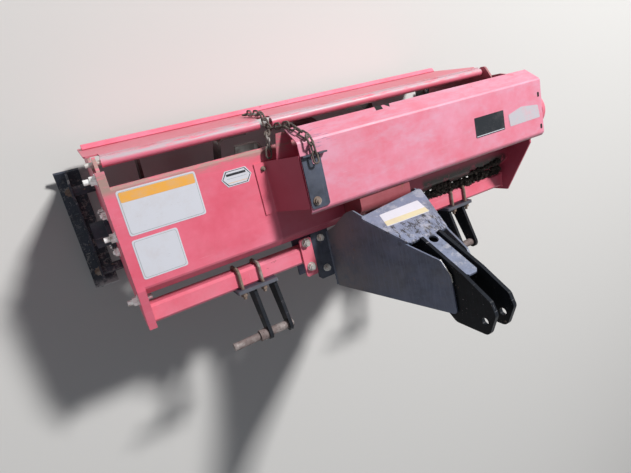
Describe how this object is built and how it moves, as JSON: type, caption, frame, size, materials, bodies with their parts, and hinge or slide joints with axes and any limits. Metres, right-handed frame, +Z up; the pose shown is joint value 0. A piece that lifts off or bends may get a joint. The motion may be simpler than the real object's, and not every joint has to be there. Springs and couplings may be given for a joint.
{
  "type": "rotary tiller for a tractor three-point hitch",
  "caption": "Faded red rotary tiller with a chain-held tail gate, L-shaped tines, skid shoes and a black three-point headstock.",
  "frame": {"origin": "on the ground under the middle of the machine, halfway between the skid shoes and between the hitch arm tips and the rear of the tail gate", "axes": "+X across the machine to the side of the gear case, +Y to the tail gate, +Z up with the machine standing on its skid shoes"},
  "size_m": [1.504, 0.6349, 0.9268],
  "materials": {
    "cover_pink": "matte",
    "faded_red": "satin",
    "deck_red": "satin",
    "cast_red": "rough",
    "black_paint": "satin",
    "worn_steel": "rough",
    "rusty_steel": "rough",
    "plated_steel": "satin"
  },
  "bodies": {
    "frame": {"chain_bracket": "black_paint", "cover_corner_tab": "deck_red", "cover_end_panel": "deck_red", "cover_right_end": "faded_red", "deck": "deck_red", "deck_chain": "rusty_steel", "drive_cover": "cover_pink", "drive_tube": "cast_red", "end_plate_left": "deck_red", "end_plate_right": "deck_red", "front_tube": "faded_red", "gearbox": "cast_red", "headstock_back": "black_paint", "headstock_foot_left": "black_paint", "headstock_foot_right": "black_paint", "headstock_side_left": "black_paint", "headstock_side_right": "black_paint", "hinge_lug_left": "deck_red", "hinge_lug_right": "deck_red", "hinge_pin_left": "plated_steel", "hinge_pin_right": "plated_steel", "hitch_arms_left": "black_paint", "hitch_arms_right": "black_paint", "hitch_pad_left": "black_paint", "hitch_pad_right": "black_paint", "hitch_pin_left": "rusty_steel", "hitch_pin_right": "rusty_steel", "hub_cap": "faded_red", "left_bearing": "black_paint", "lift_chain": "rusty_steel", "lower_clamp_left": "black_paint", "lower_clamp_right": "black_paint", "mast_ear_left": "black_paint", "mast_ear_right": "black_paint", "side_gear_case": "deck_red", "skid_left": "black_paint", "skid_right": "black_paint", "skid_spacers_left": "black_paint", "skid_spacers_right": "black_paint", "strap_plate_left": "faded_red", "strap_plate_right": "faded_red", "u_bolts_left": "rusty_steel", "u_bolts_right": "rusty_steel"},
    "rotor_body": {"rotor": "black_paint", "tines": "worn_steel"},
    "tail_gate": {"tailgate_chain": "rusty_steel", "tailgate_panel": "deck_red", "tailgate_rib": "faded_red", "tailgate_tube": "faded_red"},
    "input": {"input_shaft": "worn_steel"}
  },
  "joints": [
    {"name": "rotor_spin", "type": "hinge", "parent": "frame", "child": "rotor_body", "pos_m": [0, 0.07199, 0.217], "axis": [1, 0, 0], "continuous": true},
    {"name": "tailgate_hinge", "type": "hinge", "parent": "frame", "child": "tail_gate", "pos_m": [0, 0.25999, 0.391], "axis": [1, 0, 0], "range_deg": [0, 60]},
    {"name": "input_spin", "type": "hinge", "parent": "frame", "child": "input", "pos_m": [0.036, -0.06501, 0.503], "axis": [0, 1, 0], "continuous": true}
  ],
  "couplings": [
    {"joint": "input_spin", "follows": "rotor_spin", "ratio": 2.6}
  ]
}
